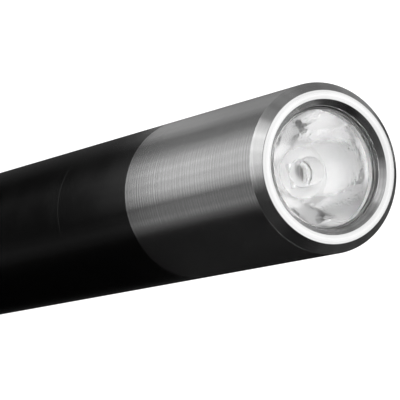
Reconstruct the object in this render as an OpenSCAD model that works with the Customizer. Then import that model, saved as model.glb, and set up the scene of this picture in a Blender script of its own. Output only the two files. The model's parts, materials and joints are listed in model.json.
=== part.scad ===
// Pocket penlight: a turned steel head, a black tube for two slim cells and a push switch in the tail.
// It stands on its tail. Z runs along its axis with the head at the top, and the tail's rim is at zero.

/* [Body] */
// Outside diameter of the head, the tube and the tail cap
body_d = 14; // [12:0.1:18]
// Wall of the tube round the cells
tube_wall = 1.55; // [1.45:0.05:1.9]
// Length of the steel bezel
bezel_len = 22; // [20:0.5:30]
// Length of the collar that shows behind the bezel
collar_len = 13; // [8:0.5:20]
// Length of the tail cap that shows below the tube
cap_len = 14; // [13:0.5:20]
// Length of each screwed neck inside the tube
neck_len = 7; // [5.5:0.5:9]
// Wall of each screwed neck
neck_wall = 0.85; // [0.75:0.05:0.95]
// Length of the collar's spigot inside the bezel
spigot_len = 5; // [4:0.5:6.5]
// Wall of the collar's spigot
spigot_wall = 1; // [0.8:0.1:1.3]
// Small chamfer on the turned edges at the seams
edge = 0.15; // [0.05:0.05:0.3]

/* [Front ring] */
// Radial width of the chamfer round the front ring
chamfer_w = 0.73; // [0.5:0.01:0.9]
// Length of that chamfer along the body
chamfer_len = 0.8; // [0.4:0.05:1.5]
// Width of the flat front ring
ring_w = 0.76; // [0.6:0.02:0.9]
// Radial width of the bevel inside the front ring
bevel_w = 0.47; // [0.3:0.01:0.7]
// Depth of that bevel
bevel_depth = 0.48; // [0.2:0.05:0.7]
// Depth of the lip that holds the optic, from the front ring
lip_depth = 1.25; // [1:0.05:1.8]
// Wall of the bezel round the optic's flange, the lamp's board and the heat sink
head_wall = 1.4; // [1.3:0.05:1.5]

/* [Optic] */
// Depth of the window below the front ring
window_recess = 0.75; // [0.4:0.05:0.8]
// Thickness of the optic's flange
flange_t = 0.7; // [0.5:0.1:1.2]
// Focal length of the optic's reflecting side, as a share of the window's radius
focal_share = 0.227; // [0.2:0.001:0.28]
// Radius of the flat back of the optic, as a share of the window's radius
back_share = 0.434; // [0.38:0.002:0.48]
// Diameter of the pocket that the lamp shines into
pocket_d = 2.4; // [2.2:0.1:2.8]
// Depth of that pocket
pocket_h = 2.5; // [2:0.1:3]
// Bulge of the small, nearly flat lens at the end of the pocket
pocket_bulge = 0.04; // [0.02:0.02:0.4]
// Thickness of the rubber gasket in front of the flange
gasket_t = 0.25; // [0.15:0.05:0.4]
// How far the gasket's rim stays below the window
gasket_sunk = 0.1; // [0.05:0.05:0.15]
// Gap between the optic's side and its holder
holder_gap = 0.25; // [0.15:0.05:0.5]

/* [Lamp and driver] */
// Side of the square lamp
led_w = 2; // [1.6:0.1:2.4]
// Thickness of the lamp's ceramic base
led_t = 0.45; // [0.3:0.05:0.8]
// Side of the lamp's light tile
die_w = 1; // [0.6:0.1:1.1]
// Diameter of the lamp's clear dome
dome_d = 1.8; // [1.6:0.1:2]
// Thickness of the lamp's board
board_t = 1; // [0.8:0.1:1.6]
// Thickness of the solid end of the heat sink
sink_web = 3; // [2:0.5:4]
// Depth of the seat that the driver board drops into
driver_seat = 1.5; // [1.2:0.1:2]
// Thickness of the driver board
driver_t = 1; // [0.8:0.1:1.2]
// Distance of each lead from the bore of the heat sink
lead_inset = 1.2; // [0.8:0.1:1.4]
// Diameter of each lead
lead_d = 0.7; // [0.5:0.1:0.9]

/* [Cells] */
// Length of one cell over its nub
cell_len = 44.5; // [40:0.5:50]
// Thickness of a cell's wrap
wrap_t = 0.15; // [0.1:0.05:0.25]
// Diameter of a cell's nub
nub_d = 3.8; // [3:0.1:5]
// Height of a cell's nub
nub_h = 0.8; // [0.6:0.1:1.4]
// Thickness of the contact discs that press on the cells
contact_t = 0.6; // [0.4:0.1:0.8]
// Diameter of the wire of the two contact springs
spring_wire = 0.5; // [0.4:0.05:0.6]
// Diameter of the contact springs, measured at the middle of the wire
spring_d = 4.2; // [3.6:0.1:4.6]

/* [Switch] */
// Wall of the tail cap's neck round the switch
cap_wall = 1.3; // [1.2:0.05:1.6]
// Width of the ledge that the button's seal lies on
ledge_w = 1.1; // [0.8:0.1:1.5]
// Travel of the push button
button_travel = 1.5; // [1:0.1:2]
// Depth of the button's face below the rim of the tail
button_recess = 0.6; // [0.3:0.1:1.5]
// Depth of the hollow at the centre of the button's face
button_dish = 0.35; // [0.1:0.05:0.5]
// Thickness of the flange that keeps the button in
button_flange_t = 1; // [0.8:0.1:1.5]
// Depth of the well round the button
well_depth = 2.5; // [1.8:0.1:4]
// Width of the gap round the button in the well
well_gap = 0.8; // [0.5:0.1:1]
// Depth of the ledge under the switch, below the end of the tube
seat_drop = 6; // [4.5:0.5:7]
// Thickness of the rubber seal under the button's flange
seal_t = 0.4; // [0.3:0.1:0.6]
// Thickness of the floor of the switch case
case_floor = 1; // [0.8:0.1:1.4]
// Thickness of the brass lid on the switch case
lid_t = 1.1; // [0.8:0.1:1.4]
// Thickness of the ring that holds the switch in
retainer_t = 1.5; // [1:0.1:1.8]
// Diameter of the plunger's stem
stem_d = 3; // [2.4:0.1:3.4]
// Diameter of the plunger's head
plunger_d = 4.8; // [4.4:0.1:5.4]
// Thickness of the plunger's head
plunger_t = 0.9; // [0.7:0.1:1.2]
// Diameter of the wire of the switch spring
switch_wire = 0.4; // [0.3:0.05:0.45]

/* [Grip] */
// Number of grip grooves round the tail cap
grip_count = 4; // [2:1:5]
// Distance from one grip groove to the next
grip_pitch = 1.5; // [1.2:0.1:1.6]
// Width of a grip groove
grip_w = 0.7; // [0.4:0.1:0.9]
// Depth of a grip groove
grip_depth = 0.3; // [0.1:0.05:0.5]
// Distance of the first grip groove from the tube
grip_start = 1.6; // [1:0.1:2.5]
// Chamfer round the rim of the tail
rim_chamfer = 0.6; // [0.2:0.1:0.8]

/* [Clip] */
// Height of the clip's band above the tail cap
clip_rise = 10; // [9.6:0.1:20]
// Height of the band that grips the tube
band_h = 6; // [4:0.5:8]
// Angle that the band wraps round the tube
band_angle = 250; // [220:5:290]
// Depth of the groove that the band snaps into
clip_groove = 0.3; // [0.1:0.05:0.3]
// Thickness of the clip's spring steel
clip_t = 0.6; // [0.5:0.05:0.8]
// Width of the clip's tongue
clip_w = 4.5; // [3:0.5:6]
// Length of the tongue beyond the band
clip_len = 28; // [22:1:34]
// Room under the tongue for the edge of a pocket
clip_gap = 1.6; // [1:0.1:2.5]
// Room under the pinch of the tongue
pinch_gap = 0.3; // [0.2:0.05:0.6]
// Lift of the flared tip above the pinch
tip_lift = 1.1; // [0.6:0.1:1.6]

/* [Fits] */
// Radial play of a screwed neck and of the button in its hole
run_fit = 0.05; // [0.03:0.01:0.09]
// Radial play of a piece that drops into its seat
seat_fit = 0.1; // [0.05:0.01:0.15]
// Radial play of the cells in the tube
cell_fit = 0.2; // [0.1:0.05:0.3]
// Axial room at the ends of the cells and of the threads
end_room = 1; // [0.8:0.1:1.5]
// Width of the dark gap round the window
window_gap = 0.2; // [0.1:0.05:0.3]
// Radial play of the gasket's rim in that gap
gasket_play = 0.03; // [0.02:0.01:0.04]
// Radial thickness of the sealing rings
seal_ring_t = 0.4; // [0.3:0.05:0.45]
// Height of the grooves for the sealing rings
seal_groove_h = 0.8; // [0.6:0.1:1]

/* [Hidden] */
$fn = 96;

// Radii, from the axis outwards
body_r = body_d / 2;
bore_r = body_r - tube_wall;
cell_r = bore_r - cell_fit;
neck_r = bore_r + neck_wall;
socket_r = neck_r + run_fit;
head_bore_r = body_r - head_wall;
stack_r = head_bore_r - seat_fit;
spigot_r = head_bore_r + 4 * seat_fit;
spigot_bore_r = spigot_r - spigot_wall;
thread_bore_r = spigot_r + run_fit;
ring_r = body_r - chamfer_w;
mouth_r = ring_r - ring_w;
lip_r = mouth_r - bevel_w;
window_r = lip_r - window_gap;
focal_len = window_r * focal_share;
optic_back_r = window_r * back_share;
pocket_r = pocket_d / 2;
cap_bore_r = neck_r - cap_wall;
case_r = cap_bore_r - seat_fit;
button_r = cap_bore_r - ledge_w;
well_r = button_r + well_gap;
switch_spring_r = (stem_d + plunger_d) / 4 - switch_wire / 4;

// Heights in the tail, from the rim upwards
seat_z = cap_len - seat_drop;
flange_z = seat_z + seal_t;
stem_z = flange_z + button_flange_t;
press_room = 0.2;
case_z = stem_z + button_travel + press_room;
head_z = case_z + case_floor;
switch_spring_z = head_z + plunger_t;
lid_z = switch_spring_z + 2 * button_travel;
lid_top_z = lid_z + lid_t;

// Heights of the cells, the collar and the front
cells_z = cap_len + neck_len + end_room;
cells_top_z = cells_z + 2 * cell_len;
collar_top_z = cells_top_z + end_room;
tube_top_z = collar_top_z - collar_len;
neck_z = tube_top_z - neck_len;
spigot_top_z = collar_top_z + spigot_len;
front_z = collar_top_z + bezel_len;

// Heights of the optic and the lamp, from the front downwards
lip_z = front_z - lip_depth;
window_z = front_z - window_recess;
flange_top_z = lip_z - gasket_t;
flange_back_z = flange_top_z - flange_t;
optic_back_z = flange_back_z - side_drop(optic_back_r);
lamp_room = 0.03;
led_top_z = optic_back_z - lamp_room;
board_top_z = led_top_z - led_t;
sink_top_z = board_top_z - board_t;
driver_top_z = spigot_top_z + driver_seat;
driver_z = driver_top_z - driver_t;

// Depth of the optic's parabolic side at radius r, below the back of its flange
function side_drop(r) = (window_r * window_r - r * r) / (4 * focal_len);

// Height of the small lens at the end of the lamp's pocket, at radius r
function pocket_end(r) = optic_back_z + pocket_h - pocket_bulge * (1 - (r / pocket_r) ^ 2);

// Points of the optic's side from the flange to the flat back, set out by grow
side_steps = 16;
function side_points(grow) = [
  for (i = [0:side_steps])
    let (r = window_r + (optic_back_r - window_r) * i / side_steps)
    [r + grow, flange_back_z - side_drop(r)]
];

// Points of a square groove cut depth deep into a wall of radius r, between heights a and b
function groove(r, depth, a, b) = [[r, a], [r - depth, a], [r - depth, b], [r, b]];

// A solid turned about the axis from its half section
module turned(points) {
  rotate_extrude() polygon(points);
}

// A washer between two radii and two heights
module washer(outer_r, inner_r, low_z, high_z) {
  turned([[inner_r, low_z], [outer_r, low_z], [outer_r, high_z], [inner_r, high_z]]);
}

// A rubber ring of round section that fills a groove below radius outer_r
module seal_ring(outer_r, mid_z) {
  section_r = seal_ring_t / 2;
  translate([0, 0, mid_z])
    rotate_extrude()
      translate([outer_r - section_r, 0])
        circle(r = section_r, $fn = 24);
}

// Middle of the wire of a coil spring, from one seat to the other
rings_per_curl = 8;
function coil_path(mid_r, wire, low_z, high_z, curls) = [
  for (i = [0:curls * rings_per_curl])
    let (a = 360 * i / rings_per_curl, share = i / (curls * rings_per_curl))
    [mid_r * cos(a), mid_r * sin(a), low_z + wire / 2 + (high_z - low_z - wire) * share]
];

// Least room between two turns of a coil spring
function coil_gap(path, wire) = min([
  for (i = [0:len(path) - 1], j = [i + rings_per_curl / 2:1:len(path) - 1])
    norm(path[j] - path[i]) - wire
]);

// Number of curls that keeps a spring's turns well apart
function curls_for(length, wire) = max(2, floor((length - wire) / (2.2 * wire)));

// A coil spring as one unbroken six sided tube along its path
wire_sides = 6;
module coil(path, wire, curls) {
  last = len(path) - 1;
  rise = atan2(path[last].z - path[0].z, curls * 2 * PI * norm([path[0].x, path[0].y]));
  points = [
    for (i = [0:last], k = [0:wire_sides - 1])
      let (
        a = 360 * i / rings_per_curl,
        b = 360 * k / wire_sides,
        out = [cos(a), sin(a), 0],
        up = [sin(a) * sin(rise), -cos(a) * sin(rise), cos(rise)]
      )
      path[i] + wire / 2 * (cos(b) * out + sin(b) * up)
  ];
  sides = [
    for (i = [0:last - 1], k = [0:wire_sides - 1])
      let (
        a = i * wire_sides + k,
        b = i * wire_sides + (k + 1) % wire_sides
      )
      each [[a, b, a + wire_sides], [b, b + wire_sides, a + wire_sides]]
  ];
  ends = [
    for (k = [1:wire_sides - 2])
      each [[0, k + 1, k], last * wire_sides * [1, 1, 1] + [0, k, k + 1]]
  ];
  polyhedron(points = points, faces = concat(sides, ends), convexity = 4);
}

contact_curls = curls_for(driver_z - cells_top_z - contact_t, spring_wire);
contact_path = coil_path(spring_d / 2, spring_wire, cells_top_z + contact_t, driver_z, contact_curls);
tail_curls = curls_for(cells_z - contact_t - lid_top_z, spring_wire);
tail_path = coil_path(spring_d / 2, spring_wire, lid_top_z, cells_z - contact_t, tail_curls);
switch_curls = curls_for(2 * button_travel, switch_wire);
switch_path = coil_path(switch_spring_r, switch_wire, switch_spring_z, lid_z, switch_curls);
echo("contact spring, least gap in mm", coil_gap(contact_path, spring_wire));
echo("tail spring, least gap in mm", coil_gap(tail_path, spring_wire));
echo("switch spring, least gap in mm", coil_gap(switch_path, switch_wire));

// Steel bezel: bright front ring with a chamfer outside and a bevel inside, and a lip over the optic
module bezel() {
  color("#b4b6b9")
    turned([
      [mouth_r, front_z],
      [ring_r, front_z],
      [body_r, front_z - chamfer_len],
      [body_r, collar_top_z],
      [thread_bore_r, collar_top_z],
      [thread_bore_r, spigot_top_z + edge],
      [head_bore_r, spigot_top_z + edge],
      [head_bore_r, lip_z],
      [lip_r, lip_z],
      [lip_r, front_z - bevel_depth]
    ]);
}

// Grey rubber gasket between the bezel's lip and the optic's flange. Its rim stands in the gap round the
// window, where it shows as a dark line
module optic_gasket() {
  rim_r = lip_r - gasket_play;
  rim_bore_r = window_r + gasket_play;
  color("#6f6f6f")
    turned([
      [stack_r, flange_top_z],
      [stack_r, lip_z],
      [rim_r, lip_z],
      [rim_r, window_z - gasket_sunk],
      [rim_bore_r, window_z - gasket_sunk],
      [rim_bore_r, flange_top_z]
    ]);
}

// Clear solid optic: the window, the flange that holds it, a parabolic side that gathers the light,
// and a pocket for the lamp with a small lens at its end
module optic() {
  pocket_steps = 6;
  pocket_points = [
    for (i = [0:pocket_steps])
      let (r = pocket_r * (1 - i / pocket_steps))
      [r, pocket_end(r)]
  ];
  color("#dfe7ec", 0.45)
    turned(concat(
      [
        [0, window_z],
        [window_r, window_z],
        [window_r, flange_top_z],
        [stack_r, flange_top_z],
        [stack_r, flange_back_z]
      ],
      side_points(0),
      [[pocket_r, optic_back_z]],
      pocket_points
    ));
}

// White cup that carries the optic's flange and stands on the lamp's board
module optic_holder() {
  color("#eeeeea")
    turned(concat(
      [[stack_r, board_top_z], [stack_r, flange_back_z]],
      side_points(holder_gap),
      [[optic_back_r + holder_gap, board_top_z]]
    ));
}

// Clear dome cast over the light tile
module led_dome() {
  color("#f2ead0", 0.5)
    difference() {
      intersection() {
        translate([0, 0, led_top_z]) sphere(d = dome_d, $fn = 48);
        translate([0, 0, led_top_z]) cylinder(h = dome_d, d = 2 * dome_d);
      }
      led_tile();
    }
}

// Light tile under the dome
die_t = 0.12;
module led_tile() {
  translate([-die_w / 2, -die_w / 2, led_top_z]) cube([die_w, die_w, die_t]);
}
module led_die() {
  color("#e8d780") led_tile();
}

// Ceramic base of the lamp
module led_base() {
  color("#f4f4f0") translate([-led_w / 2, -led_w / 2, board_top_z]) cube([led_w, led_w, led_t]);
}

// Metal cored board that the lamp is soldered to
module led_board() {
  color("#e6e6e2") translate([0, 0, sink_top_z]) cylinder(h = board_t, r = stack_r);
}

// Radii inside the heat sink, and its holes for the two leads
driver_seat_r = stack_r - 6 * seat_fit;
sink_bore_r = driver_seat_r - 5 * seat_fit;
sink_web_z = sink_top_z - sink_web;
lead_x = sink_bore_r - lead_inset;
lead_hole_d = lead_d + 4 * seat_fit;

// Brass heat sink: a solid end under the lamp's board, open below for the driver
module heat_sink() {
  color("#c8a24a")
    difference() {
      turned([
        [0, sink_top_z],
        [stack_r, sink_top_z],
        [stack_r, spigot_top_z],
        [driver_seat_r, spigot_top_z],
        [driver_seat_r, driver_top_z],
        [sink_bore_r, driver_top_z],
        [sink_bore_r, sink_web_z],
        [0, sink_web_z]
      ]);
      at_leads() translate([0, 0, driver_top_z]) cylinder(h = sink_top_z, d = lead_hole_d);
    }
}

// Places of the two leads
module at_leads() {
  for (side = [-1, 1]) translate([side * lead_x, 0, 0]) children();
}

// Two leads from the driver up to the lamp's board
module led_leads() {
  color("#b3261e")
    at_leads() translate([0, 0, driver_top_z]) cylinder(h = sink_top_z - driver_top_z, d = lead_d);
}

// Driver board, dropped into the heat sink's seat
module driver_board() {
  color("#1f6b3a")
    translate([0, 0, driver_z]) cylinder(h = driver_t, r = driver_seat_r - seat_fit / 2);
}

// Control chip on the driver board, in step with the room under the heat sink
driver_room = sink_web_z - driver_top_z;
chip_size = [0.6 * sink_bore_r, 0.5 * sink_bore_r, 0.2 * driver_room];
chip_y = 0.55 * sink_bore_r;
module driver_chip() {
  color("#202022")
    translate([-chip_size.x / 2, chip_y - chip_size.y / 2, driver_top_z])
      cube(chip_size);
}

// Drum coil on the driver board
coil_r = 0.34 * sink_bore_r;
coil_h = 0.36 * driver_room;
coil_y = -0.5 * sink_bore_r;
module driver_coil() {
  rim_t = coil_h / 4;
  waist_r = coil_r * 0.7;
  color("#4a4a50")
    translate([0, coil_y, driver_top_z])
      turned([
        [0, 0],
        [coil_r, 0],
        [coil_r, rim_t],
        [waist_r, rim_t],
        [waist_r, coil_h - rim_t],
        [coil_r, coil_h - rim_t],
        [coil_r, coil_h],
        [0, coil_h]
      ]);
}

// Plastic cup under the driver board that centres the contact spring
spring_out_r = spring_d / 2 + spring_wire / 2;
cup_wall = 1;
cup_h = 1.4;
module spring_cup() {
  inner_r = spring_out_r + 2 * seat_fit;
  color("#d9d9d4") washer(inner_r + cup_wall, inner_r, driver_z - cup_h, driver_z);
}

// Spring that presses the front contact onto the first cell
module contact_spring() {
  color("#cdb36a") coil(contact_path, spring_wire, contact_curls);
}

// A contact disc between two heights, with a boss on side up or down that centres its spring
boss_h = 0.6;
module contact_disc(low_z, boss_up) {
  boss_r = spring_d / 2 - spring_wire / 2 - 2 * seat_fit;
  boss_z = boss_up ? low_z + contact_t : low_z - boss_h;
  union() {
    translate([0, 0, low_z]) cylinder(h = contact_t, r = spring_out_r + seat_fit);
    translate([0, 0, boss_z]) cylinder(h = boss_h, r = boss_r);
  }
}

// Brass disc that meets the nub of the first cell
module front_contact() {
  color("#cfa94e") contact_disc(cells_top_z, true);
}

// Rubber ring between the bezel and the collar's spigot
bezel_seal_z = collar_top_z + end_room;
module bezel_seal() {
  color("#151517") seal_ring(spigot_r, bezel_seal_z + seal_groove_h / 2);
}

// Depth of the groove under a sealing ring
seal_groove_d = seal_ring_t + run_fit;

// Height of the sealing groove in each neck, next to its shoulder
head_seal_z = tube_top_z - end_room - seal_groove_h;
tail_seal_z = cap_len + end_room;

// Black collar: a spigot up into the bezel, the part that shows, and a screwed neck down into the tube
module collar() {
  color("#17171a")
    turned(concat(
      [[spigot_bore_r, spigot_top_z], [spigot_r, spigot_top_z]],
      groove(spigot_r, seal_groove_d, bezel_seal_z + seal_groove_h, bezel_seal_z),
      [
        [spigot_r, collar_top_z],
        [body_r, collar_top_z],
        [body_r, tube_top_z + edge],
        [body_r - edge, tube_top_z],
        [neck_r, tube_top_z]
      ],
      groove(neck_r, seal_groove_d, head_seal_z + seal_groove_h, head_seal_z),
      [
        [neck_r, neck_z + 2 * edge],
        [neck_r - 2 * edge, neck_z],
        [bore_r, neck_z],
        [bore_r, collar_top_z],
        [spigot_bore_r, collar_top_z]
      ]
    ));
}

// Rubber ring on the collar's neck
module head_seal() {
  color("#151517") seal_ring(neck_r, head_seal_z + seal_groove_h / 2);
}

// Black tube with a screwed socket at each end and a shallow groove for the clip's band
clip_z = cap_len + clip_rise;
clip_side = run_fit;
module tube() {
  socket_h = neck_len + end_room / 2;
  color("#111113")
    turned(concat(
      [
        [socket_r, tube_top_z],
        [body_r - edge, tube_top_z],
        [body_r, tube_top_z - edge]
      ],
      groove(body_r, clip_groove, clip_z + band_h + clip_side, clip_z - clip_side),
      [
        [body_r, cap_len + edge],
        [body_r - edge, cap_len],
        [socket_r, cap_len],
        [socket_r, cap_len + socket_h],
        [bore_r, cap_len + socket_h],
        [bore_r, tube_top_z - socket_h],
        [socket_r, tube_top_z - socket_h]
      ]
    ));
}

// Height along the clip's tongue where it reaches its full lift, and where it pinches
tongue_foot = 5;
tongue_tip = 3.5;
function ease(x) = x * x * (3 - 2 * x);

// Distance of the tongue's inner face from the axis, at height h above the band
function tongue_lift(h) =
  let (pinch_h = clip_len - tongue_tip)
  h < 0 ? 0
  : h < tongue_foot ? clip_gap * ease(h / tongue_foot)
  : h < pinch_h ? clip_gap + (pinch_gap - clip_gap) * ease((h - tongue_foot) / (pinch_h - tongue_foot))
  : pinch_gap + tip_lift * ((h - pinch_h) / tongue_tip) ^ 2;

// Spring steel clip: a band that snaps round the tube and a bent tongue with a flared tip
module pocket_clip() {
  band_r = body_r - clip_groove + run_fit;
  root_r = body_r + run_fit;
  steps = 28;
  heights = [for (i = [0:steps]) -band_h + (clip_len + band_h) * i / steps];
  inner = [for (h = heights) [root_r + tongue_lift(h), h]];
  outer = [for (i = [steps:-1:0]) inner[i] + [clip_t, 0]];
  color("#a9abae")
    translate([0, 0, clip_z])
      union() {
        rotate([0, 0, 90 - band_angle / 2])
          rotate_extrude(angle = band_angle)
            translate([band_r, 0])
              square([clip_t, band_h]);
        translate([clip_w / 2, 0, band_h])
          rotate([90, 0, -90])
            mirror([1, 0, 0])
              linear_extrude(clip_w)
                polygon(concat(inner, outer));
      }
}

// Metal can of a cell, its flat end down
cap_t = 0.3;
can_r = cell_r - wrap_t;
can_h = cell_len - nub_h - cap_t;
module cell_can(low_z) {
  color("#a7a9ad")
    turned([
      [0, low_z],
      [can_r - edge, low_z],
      [can_r, low_z + edge],
      [can_r, low_z + can_h - edge],
      [can_r - edge, low_z + can_h],
      [0, low_z + can_h]
    ]);
}

// Printed wrap shrunk round a cell, turned in over its shoulder
module cell_wrap(low_z, tint) {
  lip_w = 1;
  color(tint)
    turned([
      [can_r, low_z + 2 * edge],
      [can_r + wrap_t, low_z + 2 * edge],
      [can_r + wrap_t, low_z + can_h],
      [can_r, low_z + can_h + wrap_t],
      [can_r - lip_w, low_z + can_h + wrap_t],
      [can_r - lip_w, low_z + can_h],
      [can_r, low_z + can_h]
    ]);
}

// Plated cap of a cell with the nub that carries its positive end
module cell_cap(low_z) {
  disc_r = can_r - 1.4;
  plate_z = low_z + can_h;
  color("#c9cbce")
    turned([
      [0, plate_z],
      [disc_r, plate_z],
      [disc_r, plate_z + cap_t],
      [nub_d / 2, plate_z + cap_t],
      [nub_d / 2, low_z + cell_len],
      [0, low_z + cell_len]
    ]);
}

// Brass disc that meets the flat end of the second cell
module tail_contact() {
  color("#cfa94e") contact_disc(cells_z - contact_t, false);
}

// Spring between the switch and the tail contact
module tail_spring() {
  color("#cdb36a") coil(tail_path, spring_wire, tail_curls);
}

// Brass ring screwed into the tail cap over the switch, with two holes for a pin spanner
module retainer_ring() {
  outer_r = cap_bore_r - run_fit;
  inner_r = spring_out_r + 4 * seat_fit;
  hole_r = (outer_r - inner_r) / 4.4;
  color("#c8a24a")
    difference() {
      washer(outer_r, inner_r, lid_top_z, lid_top_z + retainer_t);
      for (side = [-1, 1])
        translate([side * (outer_r + inner_r) / 2, 0, lid_top_z - 1])
          cylinder(h = retainer_t + 2, r = hole_r);
    }
}

// Brass lid of the switch, which the tail spring stands on
module switch_lid() {
  color("#cfa94e") translate([0, 0, lid_z]) cylinder(h = lid_t, r = case_r);
}

// Plastic switch case: a cup with a hole in its floor for the plunger's stem
module switch_case() {
  stem_hole_r = stem_d / 2 + run_fit;
  room_r = plunger_d / 2 + seat_fit;
  color("#2a2a2e")
    turned([
      [stem_hole_r, case_z],
      [case_r, case_z],
      [case_r, lid_z],
      [room_r, lid_z],
      [room_r, head_z],
      [stem_hole_r, head_z]
    ]);
}

// Spring that pushes the plunger and the button back out
module switch_spring() {
  color("#b9bbbe") coil(switch_path, switch_wire, switch_curls);
}

// Plunger with a wide head inside the switch case and a stem that stands on the button
module switch_plunger() {
  color("#e4e4de")
    turned([
      [0, stem_z],
      [stem_d / 2, stem_z],
      [stem_d / 2, head_z],
      [plunger_d / 2, head_z],
      [plunger_d / 2, switch_spring_z],
      [0, switch_spring_z]
    ]);
}

// Rubber seal that the button's flange rests on
module button_seal() {
  color("#151517") washer(cap_bore_r - seat_fit, button_r + 2 * seat_fit, seat_z, flange_z);
}

// Push button with a dished face, guided in the tail cap and kept in by its flange
module push_button() {
  dish_r = button_r - 0.9;
  dish_steps = 8;
  bevel = 0.4;
  dish = [
    for (i = [0:dish_steps])
      let (r = dish_r * i / dish_steps)
      [r, button_recess + button_dish * (1 - (r / dish_r) ^ 2)]
  ];
  color("#1b1b1e")
    turned(concat(
      dish,
      [
        [button_r - bevel, button_recess],
        [button_r, button_recess + bevel],
        [button_r, flange_z],
        [(button_r + cap_bore_r) / 2 + seat_fit, flange_z],
        [(button_r + cap_bore_r) / 2 + seat_fit, stem_z],
        [0, stem_z]
      ]
    ));
}

// Black tail cap: a flat rim to stand on, a well and a guide for the button, grip grooves,
// and a screwed neck up into the tube
module tail_cap() {
  flare = well_gap;
  grip_top_z = cap_len - grip_start;
  grip = [
    for (i = [grip_count - 1:-1:0])
      let (top = grip_top_z - i * grip_pitch)
      each groove(body_r, grip_depth, top - grip_w, top)
  ];
  color("#121215")
    turned(concat(
      [
        [well_r + flare, 0],
        [body_r - rim_chamfer, 0],
        [body_r, rim_chamfer]
      ],
      grip,
      [
        [body_r, cap_len - edge],
        [body_r - edge, cap_len],
        [neck_r, cap_len]
      ],
      groove(neck_r, seal_groove_d, tail_seal_z, tail_seal_z + seal_groove_h),
      [
        [neck_r, cap_len + neck_len - 2 * edge],
        [neck_r - 2 * edge, cap_len + neck_len],
        [cap_bore_r, cap_len + neck_len],
        [cap_bore_r, seat_z],
        [button_r + run_fit, seat_z],
        [button_r + run_fit, well_depth],
        [well_r, well_depth],
        [well_r, flare]
      ]
    ));
}

// Rubber ring on the tail cap's neck
module tail_seal() {
  color("#151517") seal_ring(neck_r, tail_seal_z + seal_groove_h / 2);
}

bezel();
optic_gasket();
optic();
optic_holder();
led_dome();
led_die();
led_base();
led_board();
heat_sink();
led_leads();
driver_chip();
driver_coil();
driver_board();
spring_cup();
contact_spring();
front_contact();
bezel_seal();
collar();
head_seal();
tube();
pocket_clip();
cell_can(cells_z + cell_len);  // cell_1_can
cell_wrap(cells_z + cell_len, "#2f5d8a");  // cell_1_wrap
cell_cap(cells_z + cell_len);  // cell_1_cap
cell_can(cells_z);  // cell_2_can
cell_wrap(cells_z, "#2f5d8a");  // cell_2_wrap
cell_cap(cells_z);  // cell_2_cap
tail_contact();
tail_spring();
retainer_ring();
switch_lid();
switch_case();
switch_spring();
switch_plunger();
button_seal();
push_button();
tail_cap();
tail_seal();
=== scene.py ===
# %% [markdown]
# # A pocket penlight
# The light stands on its tail with its head up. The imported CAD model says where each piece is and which
# pieces move together. This lesson gives the pieces their fine forms and finishes, and sets them in a small
# photo studio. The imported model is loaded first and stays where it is: new pieces hang on its bodies.

# %% Load the frame
import json
import math

import bmesh
import bpy
import numpy as np
from mathutils import Matrix, Vector

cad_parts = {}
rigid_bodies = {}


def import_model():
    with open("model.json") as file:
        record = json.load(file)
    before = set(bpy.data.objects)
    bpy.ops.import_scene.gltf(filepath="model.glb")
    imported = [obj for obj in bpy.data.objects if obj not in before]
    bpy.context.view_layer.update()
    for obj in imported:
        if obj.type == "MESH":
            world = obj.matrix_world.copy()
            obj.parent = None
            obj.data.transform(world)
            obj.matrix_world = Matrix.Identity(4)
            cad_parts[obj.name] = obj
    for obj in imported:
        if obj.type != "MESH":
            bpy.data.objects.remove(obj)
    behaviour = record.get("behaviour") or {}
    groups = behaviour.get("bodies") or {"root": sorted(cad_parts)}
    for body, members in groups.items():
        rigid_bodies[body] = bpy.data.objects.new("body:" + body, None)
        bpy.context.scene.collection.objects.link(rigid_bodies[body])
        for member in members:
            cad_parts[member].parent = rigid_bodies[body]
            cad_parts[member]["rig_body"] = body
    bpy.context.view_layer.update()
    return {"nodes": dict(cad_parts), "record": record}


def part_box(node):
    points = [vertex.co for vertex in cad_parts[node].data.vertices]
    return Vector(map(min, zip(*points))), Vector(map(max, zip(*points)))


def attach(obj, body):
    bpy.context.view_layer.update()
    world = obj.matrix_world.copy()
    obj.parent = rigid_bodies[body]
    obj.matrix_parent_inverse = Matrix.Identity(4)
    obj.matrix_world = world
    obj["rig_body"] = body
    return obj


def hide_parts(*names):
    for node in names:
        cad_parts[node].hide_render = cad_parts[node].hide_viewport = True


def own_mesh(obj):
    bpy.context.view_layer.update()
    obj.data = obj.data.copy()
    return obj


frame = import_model()
scene = bpy.context.scene
scene.view_settings.view_transform = "Standard"

# %% [markdown]
# ## The camera
# The photographer stands on the side away from the clip and looks steeply down on the head, with a long lens.
# A camera can be turned with angles, but the picture is rolled as well, so it is simpler to say which way the
# picture's right edge and the line of sight point, and to build the camera's matrix from those two.

# %% Place the camera
LINE_OF_SIGHT = Vector((0.00118, 0.50737, -0.86173)).normalized()
PICTURE_RIGHT = Vector((0.23061, 0.83837, 0.49392))
FRONT_TO_CAMERA = Vector((-0.000039, -0.112107, 0.169194))
LENS_MM = 226.9

front_centre = Vector((0, 0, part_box("bezel")[1].z))
picture_right = (PICTURE_RIGHT - PICTURE_RIGHT.dot(LINE_OF_SIGHT) * LINE_OF_SIGHT).normalized()
picture_up = picture_right.cross(LINE_OF_SIGHT)
camera = bpy.data.objects.new("camera", bpy.data.cameras.new("camera"))
camera.data.sensor_width = 36
camera.data.lens = LENS_MM
camera.data.clip_start = 0.01
camera.matrix_world = Matrix.Translation(front_centre + FRONT_TO_CAMERA) @ Matrix(
    (picture_right, picture_up, -LINE_OF_SIGHT)
).transposed().to_4x4()
scene.collection.objects.link(camera)
scene.camera = camera
print("camera at", tuple(round(x, 4) for x in camera.matrix_world.translation))

# %% [markdown]
# ## Small helpers for shader nodes
# Materials are trees of nodes. Three helpers keep them short: one adds a node and sets its values, one wires
# an output to an input, and one does arithmetic on sockets or plain numbers.

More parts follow.
